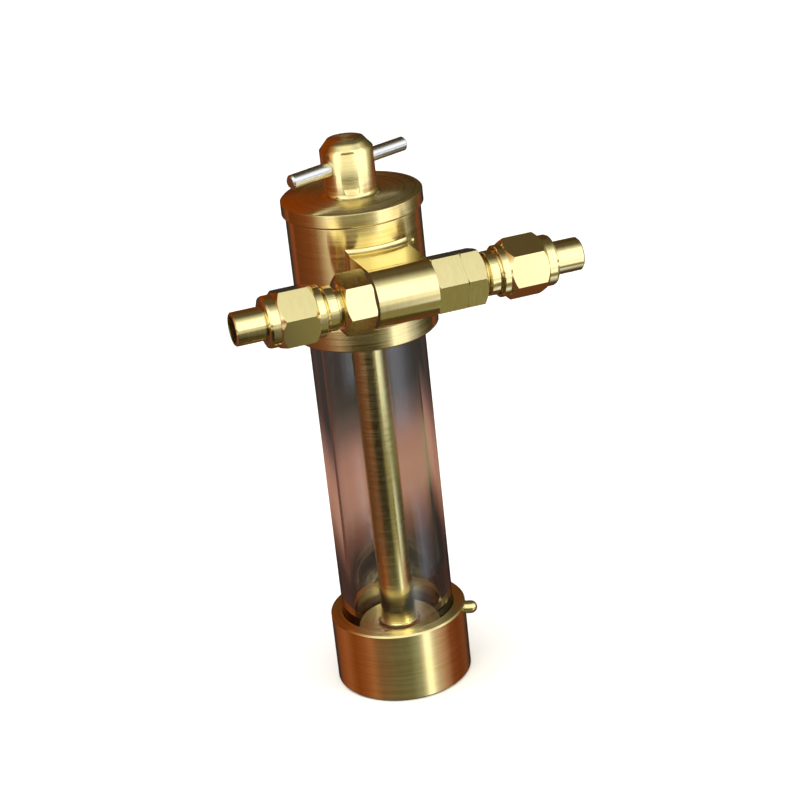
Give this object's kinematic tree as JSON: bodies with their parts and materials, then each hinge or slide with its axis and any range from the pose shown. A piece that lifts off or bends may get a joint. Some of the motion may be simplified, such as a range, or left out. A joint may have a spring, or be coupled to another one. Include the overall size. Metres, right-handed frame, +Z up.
{
  "type": "oil injector",
  "caption": "Turned brass sight-glass oil injector for a model steam line, with a base cup, centre rod, head with screw cap and cross bar, and a union each side.",
  "frame": {"origin": "centre of the base cup's underside, on the glass's axis", "axes": "+Z up along the glass and rod; the steam line runs along X at the front, which is -Y"},
  "size_m": [0.0539, 0.0337, 0.0908],
  "materials": {
    "brass": "turned, bright, with fine tool rings",
    "steel": "ground bar and plain screw",
    "glass": "clear drawn tube",
    "seal": "dark rubber seal",
    "fibre": "red-brown fibre washer"
  },
  "bodies": {
    "body": {"base_cap": "brass", "rim_peg": "brass", "lower_glass_seal": "seal", "glass_tube": "glass", "upper_glass_seal": "seal", "centre_rod": "brass", "rod_seal": "fibre", "tie_screw": "steel", "tie_washer": "fibre", "head_body": "brass", "steam_arm": "brass", "rod_bridge": "brass", "wall_pin": "brass", "union_body_left": "brass", "barrel_seal_left": "seal", "union_seal_left": "fibre", "lock_nut_right": "brass", "union_body_right": "brass", "union_seal_right": "fibre"},
    "cap_seal": {"cap_seal": "seal"},
    "cap": {"filler_cap": "brass", "cross_bar": "steel"},
    "tail_left": {"nipple_left": "brass"},
    "nut_left": {"union_nut_left": "brass"},
    "tail_right": {"nipple_right": "brass"},
    "nut_right": {"union_nut_right": "brass"}
  },
  "joints": [
    {"name": "cap_lift", "type": "slide", "parent": "body", "child": "cap_seal", "axis": [0, 0, 1], "range_m": [0, 0.007]},
    {"name": "cap_turn", "type": "hinge", "parent": "cap_seal", "child": "cap", "pos_m": [0, 0, 0.08006], "axis": [0, 0, 1], "range_deg": [0, 2520]},
    {"name": "tail_left_out", "type": "slide", "parent": "body", "child": "tail_left", "axis": [-1, 0, 0], "range_m": [0, 0.0045]},
    {"name": "nut_left_turn", "type": "hinge", "parent": "tail_left", "child": "nut_left", "pos_m": [-0.0164, -0.0178, 0.0716], "axis": [-1, 0, 0], "range_deg": [0, 2160]},
    {"name": "tail_right_out", "type": "slide", "parent": "body", "child": "tail_right", "axis": [1, 0, 0], "range_m": [0, 0.0045]},
    {"name": "nut_right_turn", "type": "hinge", "parent": "tail_right", "child": "nut_right", "pos_m": [0.0197, -0.0178, 0.0716], "axis": [1, 0, 0], "range_deg": [0, 2160]}
  ],
  "couplings": [
    {"joint": "cap_turn", "follows": "cap_lift", "rad_per_m": 6283.2},
    {"joint": "nut_left_turn", "follows": "tail_left_out", "rad_per_m": 8377.6},
    {"joint": "nut_right_turn", "follows": "tail_right_out", "rad_per_m": 8377.6}
  ]
}
